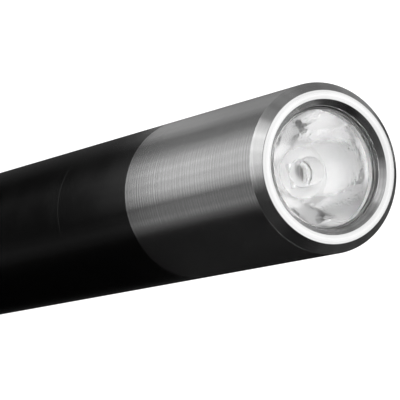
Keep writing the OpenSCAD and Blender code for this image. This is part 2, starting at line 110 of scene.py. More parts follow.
# %% Node helpers
def add(tree, kind, **values):
    """Adds a shader node; values are its settings or the defaults of its inputs."""
    made = tree.nodes.new("ShaderNode" + kind)
    for key, value in values.items():
        if hasattr(made, key):
            setattr(made, key, value)
        else:
            made.inputs[key.replace("_", " ")].default_value = value
    return made


def wire(tree, source, target):
    """Links a socket to an input, or sets the input where source is a plain value."""
    if isinstance(source, bpy.types.NodeSocket):
        tree.links.new(source, target)
    else:
        target.default_value = source


def sums(tree, operation, *terms):
    """The result of a Math node on sockets or numbers."""
    made = add(tree, "Math", operation=operation)
    for term, target in zip(terms, made.inputs):
        wire(tree, term, target)
    return made.outputs[0]


def blank_material(name):
    """A material with one Principled BSDF, and its tree."""
    material = bpy.data.materials.new(name)
    material.use_nodes = True
    return material, material.node_tree, material.node_tree.nodes["Principled BSDF"]


print("node helpers ready")

# %% [markdown]
# ## The floor and the backdrop
# A product photo has a white ground without a horizon. More light would bleach the object, so the ground's
# material gives a little light of its own, and only to rays that come from the camera, from a mirror or
# through glass. The light that the object gets stays plain, and the floor still takes the object's shadow.

# %% Make the floor and the world
FLOOR_COLOUR = (0.86, 0.86, 0.86, 1)
FLOOR_SELF_LIGHT = 0.45
ROOM_LIGHT = 0.5


def seen_directly(tree):
    """1 for rays from the camera, off a gloss or through glass, and 0 for the rest."""
    path = add(tree, "LightPath")
    either = sums(tree, "MAXIMUM", path.outputs["Is Camera Ray"], path.outputs["Is Glossy Ray"])
    return sums(tree, "MAXIMUM", either, path.outputs["Is Transmission Ray"])


floor_paper, tree, shader = blank_material("floor_paper")
shader.inputs["Base Color"].default_value = FLOOR_COLOUR
shader.inputs["Roughness"].default_value = 0.9
shader.inputs["Emission Color"].default_value = (1, 1, 1, 1)
wire(tree, sums(tree, "MULTIPLY", seen_directly(tree), FLOOR_SELF_LIGHT), shader.inputs["Emission Strength"])

FLOOR_HALF = 4.0
floor_mesh = bpy.data.meshes.new("floor")
corners = [(x * FLOOR_HALF, y * FLOOR_HALF, 0) for x, y in ((-1, -1), (1, -1), (1, 1), (-1, 1))]
floor_mesh.from_pydata(corners, [], [(0, 1, 2, 3)])
floor_mesh.materials.append(floor_paper)
floor = bpy.data.objects.new("floor", floor_mesh)
scene.collection.objects.link(floor)

world = bpy.data.worlds.new("room")
scene.world = world
world.use_nodes = True
tree = world.node_tree
room = sums(tree, "MULTIPLY_ADD", seen_directly(tree), 1 - ROOM_LIGHT, ROOM_LIGHT)
wire(tree, room, tree.nodes["Background"].inputs["Strength"])
tree.nodes["Background"].inputs["Color"].default_value = (1, 1, 1, 1)
print("floor", floor_mesh.name, "and room light", ROOM_LIGHT)

# %% [markdown]
# ## Softboxes
# Two large round softboxes light the scene: one high behind the light, and a smaller one beside the camera.
# A lamp's power is worked out from the brightness that its face should have, so its size can be changed
# without changing how bright it looks. Both are hidden from mirrors: what the metal shows is the papers of
# the next step.

# %% Hang the softboxes
AIM = Vector((0, 0, 0.11))


def softbox(name, place, across, brightness):
    """A round lamp that faces the object."""
    lamp = bpy.data.lights.new(name, "AREA")
    lamp.shape = "DISK"
    lamp.size = across
    lamp.energy = brightness * math.pi * (math.pi * across**2 / 4)
    made = bpy.data.objects.new(name, lamp)
    made.location = place
    made.rotation_euler = (AIM - Vector(place)).to_track_quat("-Z", "Y").to_euler()
    made.visible_glossy = False
    scene.collection.objects.link(made)


softbox("high_softbox", place=(0.0, 0.56, 1.06), across=1.3, brightness=1.6)
softbox("side_softbox", place=(-0.55, -0.35, 0.6), across=0.5, brightness=1.2)

# %% [markdown]
# ## A paper that bends round the object
# Turned metal is a mirror for whatever stands round it, so a photographer shapes it with papers: white
# where it should gleam, black where it should go dark. A paper here is a section, given as distances and
# heights, carried round the object. Its brightness follows a few stops by bearing, with a slight ripple so
# that it doesn't look drawn. It shows only in mirrors and through glass: the camera doesn't see it and it
# throws no shadow. Through glass, its brightness is held between two limits.

# %% The paper
BEARING_STEP = 2
RIPPLES = ((0.1, 0.45, 0.0), (0.08, 0.83, 1.0))  # each a height, a rate by degree and a phase
LEAST_IN_GLASS, MOST_IN_GLASS = 0.5, 0.95  # a paper's limits through glass, so that the lens stays clear
NO_LIGHT = ((-180, 0.0), (180, 0.0))


def paper_mesh(name, section, bearings, wall):
    """A section carried round. With a wall, it starts where the wall mirrors each bearing to the camera."""
    turns = np.radians(bearings)
    points = [
        (wall * math.sin(t / 2) + r * math.sin(t), -wall * math.cos(t / 2) - r * math.cos(t), z)
        for t in turns
        for r, z, share in section
    ]
    rows = len(section)
    faces = [
        (k * rows + i, (k + 1) * rows + i, (k + 1) * rows + i + 1, k * rows + i + 1)
        for k in range(len(turns) - 1)
        for i in range(rows - 1)
    ]
    mesh = bpy.data.meshes.new(name)
    mesh.from_pydata(points, [], faces)
    return mesh


def paper_material(name):
    """Shines by the mesh's glow, or by its light where that is more and the ray has met a matt surface."""
    paper, tree, shader = blank_material(name)
    tree.nodes.remove(shader)
    path = add(tree, "LightPath").outputs
    glow = add(tree, "Attribute", attribute_name="glow").outputs["Fac"]
    light = add(tree, "Attribute", attribute_name="light").outputs["Fac"]
    matt = sums(tree, "GREATER_THAN", path["Diffuse Depth"], 0.5)
    limited = sums(tree, "MINIMUM", sums(tree, "MAXIMUM", glow, LEAST_IN_GLASS), MOST_IN_GLASS)
    change = sums(tree, "SUBTRACT", limited, glow)
    seen = sums(tree, "MULTIPLY_ADD", path["Is Transmission Ray"], change, glow)
    lit = add(tree, "Emission")
    wire(tree, sums(tree, "MAXIMUM", seen, sums(tree, "MULTIPLY", matt, light)), lit.inputs["Strength"])
    wire(tree, lit.outputs[0], tree.nodes["Material Output"].inputs["Surface"])
    paper.cycles.emission_sampling = "NONE"
    return paper


def sweep(name, section, stops, light=NO_LIGHT, wall=0.0):
    """A bent paper. Its glow follows the stops; light is what it sends to matt surfaces behind glass."""
    bearings = np.arange(stops[0][0], stops[-1][0] + 1, BEARING_STEP)
    mesh = paper_mesh(name, section, bearings, wall)
    ripple = 1 + sum(height * np.sin(bearings * rate + phase) for height, rate, phase in RIPPLES)
    shares = [share for r, z, share in section]
    for label, course in (("glow", stops), ("light", light)):
        levels = np.outer(np.interp(bearings, *zip(*course)) * ripple, shares).ravel()
        mesh.attributes.new(label, "FLOAT", "POINT").data.foreach_set("value", levels.astype(np.float32))
    mesh.materials.append(paper_material(name))
    made = bpy.data.objects.new(name, mesh)
    scene.collection.objects.link(made)
    made.visible_camera = False
    made.visible_diffuse = False
    made.visible_shadow = False
    made.visible_volume_scatter = False
    print(f"{name}: {len(stops)} stops from {stops[0][0]} to {stops[-1][0]} degrees")


print("papers have a column every", BEARING_STEP, "degrees")

# %% [markdown]
# ## Papers on the floor
# From this steep angle the side of the body mirrors the floor: the black tube the floor close by, and the
# steel head the floor farther out. Each has a paper of its own, and the two meet where the seam of the head
# is mirrored. The wide paper beyond them shows in the outer chamfer. Two bright strips on it, left and
# right, give the tube a gleam when it is seen from the side. Stops are bearings in degrees from the
# camera's side towards +X.

# %% Lay the floor papers
TUBE_SECTION = [(0.005, 0.0008, 1.0), (0.0628, 0.0008, 1.0)]
NEAR_SECTION = [(0.0628, 0.0008, 1.25), (0.068, 0.0008, 1.25), (0.078, 0.0008, 1.0), (0.15, 0.0008, 1.0)]
FAR_SECTION = [(0.15, 0.0006, 1.0), (0.30, 0.0006, 1.0), (0.34, 0.02, 1.0), (0.36, 0.06, 1.0)]
STRIP_SECTION = [(0.17, 0.001, 1.0), (0.29, 0.001, 1.0)]
TUBE_STOPS = [(-180, 0.04), (-160, 0.055), (-140, 0.054), (-120, 0.043), (-100, 0.013), (-80, 0.015),
              (-60, 0.06), (-40, 0.036), (-20, 0.026), (0, 0.04), (20, 0.09), (40, 0.012), (60, 0.001),
              (120, 0.001), (140, 0.005), (160, 0.034), (180, 0.04)]
NEAR_STOPS = [(-180, 0.08), (-160, 0.22), (-138, 0.3), (-118, 0.32), (-100, 0.165), (-84, 0.22), (-60, 0.6),
              (-50, 0.71), (-34, 0.68), (-18, 0.6), (-4, 0.18), (18, 0.23), (31, 0.05), (40, 0.013),
              (165, 0.01), (180, 0.04)]
FAR_STOPS = [(-180, 0.04), (-174, 0.06), (-168, 0.24), (-160, 0.3), (-136, 0.22), (-100, 0.25), (-70, 0.8),
             (-30, 0.9), (0, 0.3), (20, 0.1), (50, 0.45), (80, 0.5), (105, 0.1), (136, 0.06), (168, 0.1),
             (174, 0.03), (180, 0.04)]
LEFT_STRIP = [(-86, 0.3), (-70, 2.6), (-30, 2.8), (-14, 0.3)]
RIGHT_STRIP = [(34, 0.1), (50, 1.7), (80, 1.8), (96, 0.1)]

body_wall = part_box("bezel")[1].x
sweep("tube_sweep", TUBE_SECTION, TUBE_STOPS, wall=body_wall)
sweep("near_sweep", NEAR_SECTION, NEAR_STOPS, wall=body_wall)
sweep("far_sweep", FAR_SECTION, FAR_STOPS)
sweep("left_strip", STRIP_SECTION, LEFT_STRIP)
sweep("right_strip", STRIP_SECTION, RIGHT_STRIP)

# %% [markdown]
# ## Papers on the walls and the ceiling
# The chamfer and the bevel mirror the walls, and the front ring mirrors the ceiling behind the light. The
# lens shows the ceiling too, by total reflection. The white holder behind it is matt and gets little light
# through the glass, so the ceiling has a second course of levels that counts only there. It is brightest on
# the -X side of the camera, which is upwards in the picture, so the lower part of the lens stays darker.

# %% Hang the wall and ceiling papers
WALL_SECTION = [(0.36, 0.06, 1.0), (0.36, 0.305, 1.0)]
UPPER_SECTION = [(0.36, 0.305, 1.0), (0.36, 0.45, 1.0)]
CEILING_SECTION = [(0.36, 0.45, 0.35), (0.34, 0.55, 0.35), (0.338, 0.56, 1.0), (0.27, 0.67, 1.0),
                   (0.14, 0.74, 1.0), (0.002, 0.76, 1.0)]
WALL_STOPS = [(-180, 0.3), (-160, 0.4), (-150, 0.28), (-136, 0.22), (-121, 0.2), (-103, 0.32), (-85, 0.26),
              (-72, 0.36), (-64, 0.85), (-54, 1.35), (-12, 1.4), (0, 0.4), (8, 0.04), (20, 0.02), (45, 0.04),
              (66, 0.015), (85, 0.02), (103, 0.05), (121, 0.06), (180, 0.08)]
UPPER_STOPS = [(-180, 0.3), (-121, 0.27), (-96, 0.48), (-68, 0.64), (-45, 0.65), (-23, 0.42), (-4, 0.1),
               (23, 0.06), (96, 0.1), (121, 0.3), (180, 0.3)]
CEILING_STOPS = [(-180, 1.6), (-160, 1.5), (-120, 0.55), (-70, 0.5), (-40, 1.3), (40, 1.3), (70, 0.6),
                 (115, 0.7), (150, 1.5), (180, 1.6)]
CEILING_LIGHT = [(-180, 0.4), (-95, 0.4), (-55, 36.0), (-15, 36.0), (20, 0.4), (180, 0.4)]

sweep("wall_sweep", WALL_SECTION, WALL_STOPS)
sweep("upper_sweep", UPPER_SECTION, UPPER_STOPS)
sweep("ceiling_sweep", CEILING_SECTION, CEILING_STOPS, CEILING_LIGHT)

# %% [markdown]
# ## Effects that several finishes share
# Each effect is a node group, built once and placed in any material with its own values. It puts out plain
# numbers: a height for the bump, a tone for the colour's drift, or a mask. Patterns are set in cells or lines
# for each millimetre of the piece itself, so they stay on it when it moves.

# %% Node groups
def effect(name, inputs, outputs):
    """An empty node group with named number inputs and outputs."""
    tree = bpy.data.node_groups.new(name, "ShaderNodeTree")
    for label, value in inputs.items():
        tree.interface.new_socket(label, in_out="INPUT", socket_type="NodeSocketFloat").default_value = value
    for label in outputs:
        tree.interface.new_socket(label, in_out="OUTPUT", socket_type="NodeSocketFloat")
    return tree, tree.nodes.new("NodeGroupInput").outputs, tree.nodes.new("NodeGroupOutput").inputs


def millimetres(tree):
    """The place on the piece in millimetres, as a vector socket."""
    place = add(tree, "TexCoord").outputs["Object"]
    scaled = add(tree, "VectorMath", operation="SCALE", Scale=1000)
    wire(tree, place, scaled.inputs[0])
    return scaled.outputs[0]


def noise(tree, place, scale, detail=2.0, roughness=0.5):
    """Noise from 0 to 1 with about scale cells in a millimetre."""
    made = add(tree, "TexNoise", Detail=detail, Roughness=roughness)
    wire(tree, place, made.inputs["Vector"])
    wire(tree, scale, made.inputs["Scale"])
    return made.outputs["Fac"]


def between(tree, value, low, high):
    """0 below low, 1 above high and smooth between them."""
    made = add(tree, "MapRange", interpolation_type="SMOOTHSTEP")
    wire(tree, value, made.inputs["Value"])
    wire(tree, low, made.inputs["From Min"])
    wire(tree, high, made.inputs["From Max"])
    return made.outputs["Result"]


print("effect helpers ready")

# %% [markdown]
# ## Turning lines
# A lathe tool leaves a fine groove at each turn. The grooves follow height on a wall and radius on a flat
# face, so one coordinate made of both works everywhere. They could be cut into the mesh, but they are far
# finer than a mesh can be, so a sine for the feed and noise for the tool's wear make a height map.

# %% Turning lines
LINE_SLANT = 1.37  # keeps the lines apart on chamfers, where radius and height change together
WAVER_PER_MM = 0.12
FEED_SHARE = 0.16
turning_lines, given, result = effect(
    "turning_lines", {"Lines per mm": 5.0, "Waver": 0.2}, ["Height", "Tone"]
)
place = millimetres(turning_lines)
split = add(turning_lines, "SeparateXYZ")
wire(turning_lines, place, split.inputs[0])
flat = add(turning_lines, "CombineXYZ")
wire(turning_lines, split.outputs["X"], flat.inputs["X"])
wire(turning_lines, split.outputs["Y"], flat.inputs["Y"])
radius = add(turning_lines, "VectorMath", operation="LENGTH")
wire(turning_lines, flat.outputs[0], radius.inputs[0])
along = sums(turning_lines, "MULTIPLY_ADD", split.outputs["Z"], LINE_SLANT, radius.outputs["Value"])
waver = sums(turning_lines, "MULTIPLY", noise(turning_lines, place, WAVER_PER_MM, 0.0), given["Waver"])
along = sums(turning_lines, "ADD", along, waver)
turns = sums(turning_lines, "MULTIPLY", along, given["Lines per mm"])
rings = add(turning_lines, "TexNoise", noise_dimensions="1D", Scale=1.7, Detail=3.0, Roughness=0.6)
wire(turning_lines, turns, rings.inputs["W"])
feed = sums(turning_lines, "SINE", sums(turning_lines, "MULTIPLY", turns, 2 * math.pi))
lines = sums(turning_lines, "MULTIPLY_ADD", feed, FEED_SHARE, rings.outputs["Fac"])
wire(turning_lines, between(turning_lines, lines, 0.2, 0.8), result["Height"])
wire(turning_lines, between(turning_lines, lines, 0.1, 0.9), result["Tone"])
print(turning_lines.name, [s.name for s in turning_lines.interface.items_tree])

# %% [markdown]
# ## Grain, and worn edges with a painted highlight
# *Fine grain* is the even speckle of blasted, anodised or moulded surfaces. *Worn edge* finds sharp edges
# by the mesh's pointiness and breaks the line up with noise, because an edge wears in patches. The lighter
# colour it gives an edge is partly wear and partly a painted highlight, standing in for light caught on the
# edge.

# %% Grain, and worn edges with a painted highlight
TONE_SHARE = 0.22  # the tone drifts in larger patches than the grain
fine_grain, given, result = effect("fine_grain", {"Grains per mm": 12.0}, ["Height", "Tone"])
place = millimetres(fine_grain)
wire(fine_grain, noise(fine_grain, place, given["Grains per mm"], 2.0), result["Height"])
tone_scale = sums(fine_grain, "MULTIPLY", given["Grains per mm"], TONE_SHARE)
wire(fine_grain, noise(fine_grain, place, tone_scale, 3.0, 0.6), result["Tone"])

worn_and_highlit_edge, given, result = effect("worn_and_highlit_edge", {"From": 0.52, "To": 0.6}, ["Mask"])
sharpness = add(worn_and_highlit_edge, "NewGeometry").outputs["Pointiness"]
patchy = between(worn_and_highlit_edge, noise(worn_and_highlit_edge, millimetres(worn_and_highlit_edge), 1.4, 4.0, 0.65), 0.35, 0.7)
edges = between(worn_and_highlit_edge, sharpness, given["From"], given["To"])
wire(worn_and_highlit_edge, sums(worn_and_highlit_edge, "MULTIPLY", edges, patchy), result["Mask"])
print("groups:", [g.name for g in bpy.data.node_groups])

# %% [markdown]
# ## Smudges and dust
# Hands leave faint clouds with hairlines in them, and dust lies as a sprinkle of pale specks on faces that
# look up. The hairlines are the borders of long, slanted cells, and a speck is the middle of a small cell,
# kept by chance.

# %% Smudges and dust
HAIRLINE = 0.012
smudges, given, result = effect("smudges", {"Clouds per mm": 0.25}, ["Cloud", "Scratch"])
place = millimetres(smudges)
cloud = between(smudges, noise(smudges, place, given["Clouds per mm"], 3.0), 0.4, 0.72)
wire(smudges, cloud, result["Cloud"])
scratch = add(smudges, "TexVoronoi", feature="DISTANCE_TO_EDGE", Scale=0.35, Randomness=1.0)
bent = add(smudges, "Mapping", Rotation=(0.6, 0.3, 0.2), Scale=(1.0, 1.0, 0.14))
wire(smudges, place, bent.inputs["Vector"])
wire(smudges, bent.outputs[0], scratch.inputs["Vector"])
hairline = sums(smudges, "SUBTRACT", 1.0, between(smudges, scratch.outputs["Distance"], 0.0, HAIRLINE))
wire(smudges, sums(smudges, "MULTIPLY", hairline, cloud), result["Scratch"])

dust, given, result = effect("dust", {"Amount": 0.1, "Specks per mm": 3.0}, ["Mask"])
specks = add(dust, "TexVoronoi", feature="F1", Randomness=1.0)
wire(dust, millimetres(dust), specks.inputs["Vector"])
wire(dust, given["Specks per mm"], specks.inputs["Scale"])
small = sums(dust, "SUBTRACT", 1.0, between(dust, specks.outputs["Distance"], 0.05, 0.16))
chosen = sums(dust, "LESS_THAN", specks.outputs["Color"], given["Amount"])
facing = add(dust, "SeparateXYZ")
wire(dust, add(dust, "NewGeometry").outputs["Normal"], facing.inputs[0])
upward = between(dust, facing.outputs["Z"], 0.2, 0.9)
wire(dust, sums(dust, "MULTIPLY", sums(dust, "MULTIPLY", small, chosen), upward), result["Mask"])
print("groups:", [g.name for g in bpy.data.node_groups])

# %% [markdown]
# ## One recipe for the finishes
# Every finish on the light is a base colour that drifts towards a second one, a roughness that drifts in
# step, and a height map for the bump. What differs is the effect that drives the drift and the numbers, so
# one function builds them all. Values that are the same all over are set on the shader itself.

# %% The recipe
FINISH = {}
CLOUD_ROUGHNESS = 0.04
SCRATCH_DEPTH = 0.12
DUST_GREY = 0.55


def placed(tree, group, **values):
    """Places a node group in a material."""
    made = tree.nodes.new("ShaderNodeGroup")
    made.node_tree = group
    for key, value in values.items():
        made.inputs[key.replace("_", " ")].default_value = value
    return made.outputs


def blended(tree, factor, first, second):
    """One colour fading to another."""
    made = add(tree, "Mix", data_type="RGBA")
    wire(tree, factor, made.inputs["Factor"])
    wire(tree, first, made.inputs[6])
    wire(tree, second, made.inputs[7])
    return made.outputs[2]


def opaque(rgb):
    """Three numbers as a colour, one number as a grey."""
    return (*rgb, 1) if isinstance(rgb, tuple) else (rgb, rgb, rgb, 1)


def finish(slot, colour, drift, rough, surface_of, bump_um, wear=None, dusty=0.0, **constants):
    """Builds a slot's material: two colours, two roughnesses, an effect for its surface and a bump height."""
    material, tree, shader = blank_material(slot)
    surface = surface_of(tree)
    marks = placed(tree, smudges)
    tint = blended(tree, surface["Tone"], opaque(colour), opaque(drift))
    # sharp edges turn lighter: partly wear, partly a painted highlight
    if wear is not None:
        tint = blended(tree, placed(tree, worn_and_highlit_edge)["Mask"], tint, opaque(wear))
    if dusty:
        tint = blended(tree, placed(tree, dust, Amount=dusty)["Mask"], tint, opaque(DUST_GREY))
    wire(tree, tint, shader.inputs["Base Color"])
    gloss = sums(tree, "MULTIPLY_ADD", surface["Tone"], rough[1] - rough[0], rough[0])
    gloss = sums(tree, "MULTIPLY_ADD", marks["Cloud"], CLOUD_ROUGHNESS, gloss)
    wire(tree, gloss, shader.inputs["Roughness"])
    height = sums(tree, "MULTIPLY_ADD", marks["Scratch"], -SCRATCH_DEPTH, surface["Height"])
    bump = add(tree, "Bump", Strength=1.0, Distance=bump_um * 1e-6)
    wire(tree, height, bump.inputs["Height"])
    wire(tree, bump.outputs[0], shader.inputs["Normal"])
    for key, value in constants.items():
        shader.inputs[key.replace("_", " ")].default_value = value
    FINISH[slot] = material


def turned(slot, colour, drift, rough, lines, waver, bump_um, **more):
    """A finish with turning lines, so many to a millimetre."""

    def surface(tree):
        return placed(tree, turning_lines, Lines_per_mm=lines, Waver=waver)

    finish(slot, colour, drift, rough, surface, bump_um, **more)


def grained(slot, colour, drift, rough, grains, bump_um, **more):
    """A finish with a fine grain, so many to a millimetre."""

    def surface(tree):
        return placed(tree, fine_grain, Grains_per_mm=grains)

    finish(slot, colour, drift, rough, surface, bump_um, **more)


print("recipe ready")

# %% [markdown]
# ## Metals
# The head is bare steel, turned to a satin that shows fine rings. Collar, tube and tail cap are anodised: the
# metal is under a thin black glassy skin, so the shader isn't metallic, and the edges wear to a grey line,
# which is partly a painted highlight of light caught on the edges.
# The clip is rolled spring steel, and the contacts are brass, with gold on the springs.

# %% Metal finishes
turned("turned_steel", 0.66, 0.57, (0.12, 0.17), lines=1.75, waver=0.25, bump_um=1.1, Metallic=1.0)
# the lighter edges of the anodised parts are partly wear and partly a painted highlight
grained("black_anodised", 0.001, 0.0018, (0.14, 0.19), grains=14.0, bump_um=1.2,
        wear=0.01, dusty=0.01, IOR=1.35)
grained("spring_steel", 0.56, 0.48, (0.22, 0.34), grains=5.0, bump_um=4, wear=0.72, Metallic=1.0)
turned("brass", (0.72, 0.5, 0.2), (0.62, 0.42, 0.16), (0.25, 0.4), lines=4.0, waver=0.3, bump_um=6,
       Metallic=1.0)
grained("gold_spring", (0.86, 0.66, 0.32), (0.74, 0.54, 0.24), (0.15, 0.26), grains=6.0, bump_um=3,
        Metallic=1.0)
grained("cell_metal", 0.62, 0.52, (0.22, 0.36), grains=4.0, bump_um=4, Metallic=1.0)
print("finishes:", list(FINISH))

# %% [markdown]
# ## Plastics, rubber and boards
# The hidden pieces get honest finishes too, because the light can be taken apart: white moulded plastic round
# the optic, black moulded plastic in the switch, dull rubber seals and lacquered boards.

# %% Other opaque finishes
grained("black_rubber", 0.012, 0.022, (0.5, 0.68), grains=9.0, bump_um=9, dusty=0.03)
grained("grey_rubber", 0.15, 0.18, (0.5, 0.65), grains=9.0, bump_um=6)
grained("white_plastic", 0.8, 0.72, (0.3, 0.42), grains=7.0, bump_um=4)
grained("black_plastic", 0.014, 0.024, (0.34, 0.48), grains=8.0, bump_um=8, wear=0.05, dusty=0.03)
grained("light_tile", (0.15, 0.146, 0.135), (0.105, 0.103, 0.094), (0.55, 0.7), grains=30.0, bump_um=6)
grained("white_ceramic", 0.88, 0.8, (0.3, 0.42), grains=16.0, bump_um=3)
grained("white_board", 0.64, 0.58, (0.3, 0.4), grains=10.0, bump_um=4)
grained("green_board", (0.02, 0.16, 0.06), (0.03, 0.24, 0.09), (0.25, 0.36), grains=5.0, bump_um=12)
grained("ferrite", 0.05, 0.085, (0.5, 0.66), grains=18.0, bump_um=8)
grained("lead_red", (0.46, 0.03, 0.02), (0.36, 0.02, 0.015), (0.3, 0.42), grains=8.0, bump_um=4)
grained("cell_wrap", (0.03, 0.11, 0.26), (0.04, 0.14, 0.32), (0.18, 0.28), grains=3.0, bump_um=5,
        Coat_Weight=0.4, Coat_Roughness=0.12)
print("finishes:", len(FINISH))

# %% [markdown]
# ## Clear pieces
# The optic is a solid block of clear acrylic. Its shape does the work: light that enters at the window is
# turned back by the parabolic side, so the whole block seems to shine. Glass needs a closed mesh and a
# plain refractive index. Its flat faces are polished; the sides are a little misty and wavy from the mould,
# which breaks the reflections up.

# %% Clear finishes
TINT_DRIFT = 0.985
FLAT = 0.99  # a face counts as flat where its normal is this near to the axis
POLISH = 0.8  # the share of the mist that polishing takes away


def clear(slot, colour, index, rough, wave_um, waves_per_mm):
    """A clear solid with wavy, slightly misty sides and polished flat faces."""
    material, tree, shader = blank_material(slot)
    surface = placed(tree, fine_grain, Grains_per_mm=waves_per_mm)
    drifted = opaque(tuple(TINT_DRIFT * c for c in colour))
    wire(tree, blended(tree, surface["Tone"], opaque(colour), drifted), shader.inputs["Base Color"])
    mist = sums(tree, "MULTIPLY_ADD", surface["Tone"], rough, rough / 2)
    facing = add(tree, "SeparateXYZ")
    wire(tree, add(tree, "NewGeometry").outputs["True Normal"], facing.inputs[0])
    polished = sums(tree, "GREATER_THAN", sums(tree, "ABSOLUTE", facing.outputs["Z"]), FLAT)
    left = sums(tree, "MULTIPLY_ADD", polished, -POLISH, 1.0)
    wire(tree, sums(tree, "MULTIPLY", mist, left), shader.inputs["Roughness"])
    bump = add(tree, "Bump", Strength=1.0, Distance=wave_um * 1e-6)
    wire(tree, surface["Height"], bump.inputs["Height"])
    wire(tree, bump.outputs[0], shader.inputs["Normal"])
    shader.inputs["IOR"].default_value = index
    shader.inputs["Transmission Weight"].default_value = 1.0
    FINISH[slot] = material


clear("clear_optic", (0.985, 0.985, 0.985), index=1.49, rough=0.08, wave_um=15.0, waves_per_mm=2.0)
clear("clear_dome", (0.97, 0.97, 0.96), index=1.41, rough=0.2, wave_um=3.0, waves_per_mm=1.5)

# %% [markdown]
# ## Turning pieces on a lathe
# Most of the light is round, so most pieces are a half section spun about the axis. A spun section with sharp
# corners looks like a drawing: real edges are broken by a file or a tool. So each corner of a section carries
# an ease, the length over which it is rounded, and a support point on either side keeps the walls flat
# under smooth shading. Sections are in millimetres, as in the part's source.

# %% The lathe
MM = 0.001
AROUND = 192
EASE_STEPS = 3
SUPPORT = 2.4
CUT_SHARE = 0.3  # an ease takes at most this share of a side
SUPPORT_SHARE = 0.45  # and its support point lies at most this far along it


def eased(section, ring):
    """Corners (radius, height, ease) as an outline with rounded corners."""
    outline = []
    for i, (r, z, ease) in enumerate(section):
        corner = Vector((r, z))
        if not ease or (not ring and i in (0, len(section) - 1)):
            outline.append(corner)
            continue
        sides = [Vector(section[j % len(section)][:2]) - corner for j in (i - 1, i + 1)]
        cut = min(ease, *(CUT_SHARE * side.length for side in sides))
        back, ahead = (side.normalized() for side in sides)
        outline.append(corner + back * min(SUPPORT * cut, SUPPORT_SHARE * sides[0].length))
        for step in range(EASE_STEPS + 1):
            t = step / EASE_STEPS
            outline.append(corner + back * cut * (1 - t) ** 2 + ahead * cut * t**2)
        outline.append(corner + ahead * min(SUPPORT * cut, SUPPORT_SHARE * sides[1].length))
    return outline


def turned_mesh(name, section, reshape=None, around=AROUND):
    """A closed mesh spun from a half section. reshape(radii, angles, heights) may give new radii."""
    ring = min(r for r, z, ease in section) > 0
    outline = eased(section, ring)
    angles = np.linspace(0, 2 * math.pi, around, endpoint=False)
    points, rows = [], []
    for r, z in outline:
        turn = angles if r > 1e-6 else angles[:1]
        radii = np.full(len(turn), r)
        heights = np.full(len(turn), z)
        if reshape and r > 1e-6:
            radii = reshape(radii, turn, heights)
        rows.append(range(len(points), len(points) + len(turn)))
        points.extend(zip(radii * np.cos(turn) * MM, radii * np.sin(turn) * MM, heights * MM))
    faces = []
    for low, high in zip(rows, rows[1:] + rows[:1] if ring else rows[1:]):
        for k in range(around):
            a, b = (low[k % len(low)], low[(k + 1) % around % len(low)])
            c, d = (high[(k + 1) % around % len(high)], high[k % len(high)])
            faces.append(tuple(dict.fromkeys((a, b, c, d))))
    mesh = bpy.data.meshes.new(name)
    mesh.from_pydata(points, [], [face for face in faces if len(face) > 2])
    return tidy(mesh)


def tidy(mesh):
    """Turns all faces outwards and shades them smooth."""
    work = bmesh.new()
    work.from_mesh(mesh)
    bmesh.ops.recalc_face_normals(work, faces=work.faces)
    for face in work.faces:
        face.smooth = True
    work.to_mesh(mesh)
    work.free()
    return mesh


print("lathe ready:", AROUND, "steps round,", EASE_STEPS, "on an eased corner")

# %% [markdown]
# ## Putting a piece in a node's place
# A new piece takes over a CAD node's job: it rides on the same body, hides the node, and takes the node's
# material slot from the record. One function does it, so no piece can be hung on the wrong body.

# %% Stand-ins
SLOT_OF = {row["node"]: row["material_slot"] for row in frame["record"]["subparts"]}


def stand_in(mesh, node):
    """A new piece in the place of a CAD node."""
    made = bpy.data.objects.new(mesh.name, mesh)
    scene.collection.objects.link(made)
    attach(made, frame["nodes"][node]["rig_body"])
    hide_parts(node)
    mesh.materials.append(FINISH[SLOT_OF[node]])
    print(f"{made.name}: {len(mesh.polygons)} faces, for {node} in {SLOT_OF[node]}")
    return made


def heights_of(node):
    """Lowest and highest height of a node in millimetres."""
    return tuple(round(corner.z / MM, 3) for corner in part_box(node))


def reach_of(node):
    """Outer radius of a round node in millimetres."""
    return round(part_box(node)[1].x / MM, 3)


SEAM_Z, FRONT_Z = heights_of("bezel")
BODY_R = reach_of("bezel")
print("front", FRONT_Z, "seam", SEAM_Z, "body radius", BODY_R)

# %% [markdown]
# ## The bezel
# The steel head is one turned sleeve. What catches the eye is its mouth: a bright flat ring with a chamfer
# outside and a bevel inside. The edges between them are only just broken, so that they stay crisp. The
# outermost is the sharpest, because a rounder one would gleam as a line on the dark side.

# %% Turn the bezel
CHAMFER_W, RING_W, BEVEL_W = 0.73, 0.76, 0.47
CHAMFER, BEVEL = 0.8, 0.48
LIP_DEPTH, WINDOW_PLAY = 1.25, 0.2
STACK_PLAY, SPIGOT_PLAY, END_PLAY = 0.1, 0.05, 0.15
RING_R = BODY_R - CHAMFER_W
MOUTH_R = RING_R - RING_W
LIP_R = MOUTH_R - BEVEL_W
WINDOW_R = LIP_R - WINDOW_PLAY
LIP_Z = FRONT_Z - LIP_DEPTH
STACK_R = reach_of("heat_sink")
HEAD_BORE_R = STACK_R + STACK_PLAY
SPIGOT_R = reach_of("bezel_seal")
SPIGOT_TOP = heights_of("collar")[1]
SHARP, CRISP, SOFT = 0.012, 0.035, 0.09

bezel_section = [
    (MOUTH_R, FRONT_Z, CRISP),
    (RING_R, FRONT_Z, CRISP),
    (BODY_R, FRONT_Z - CHAMFER, SHARP),
    (BODY_R, SEAM_Z, CRISP),
    (SPIGOT_R + SPIGOT_PLAY, SEAM_Z, CRISP),
    (SPIGOT_R + SPIGOT_PLAY, SPIGOT_TOP + END_PLAY, CRISP),
    (HEAD_BORE_R, SPIGOT_TOP + END_PLAY, CRISP),
    (HEAD_BORE_R, LIP_Z, CRISP),
    (LIP_R, LIP_Z, CRISP),
    (LIP_R, FRONT_Z - BEVEL, CRISP),
]
stand_in(turned_mesh("bezel_turned", bezel_section, around=256), "bezel")

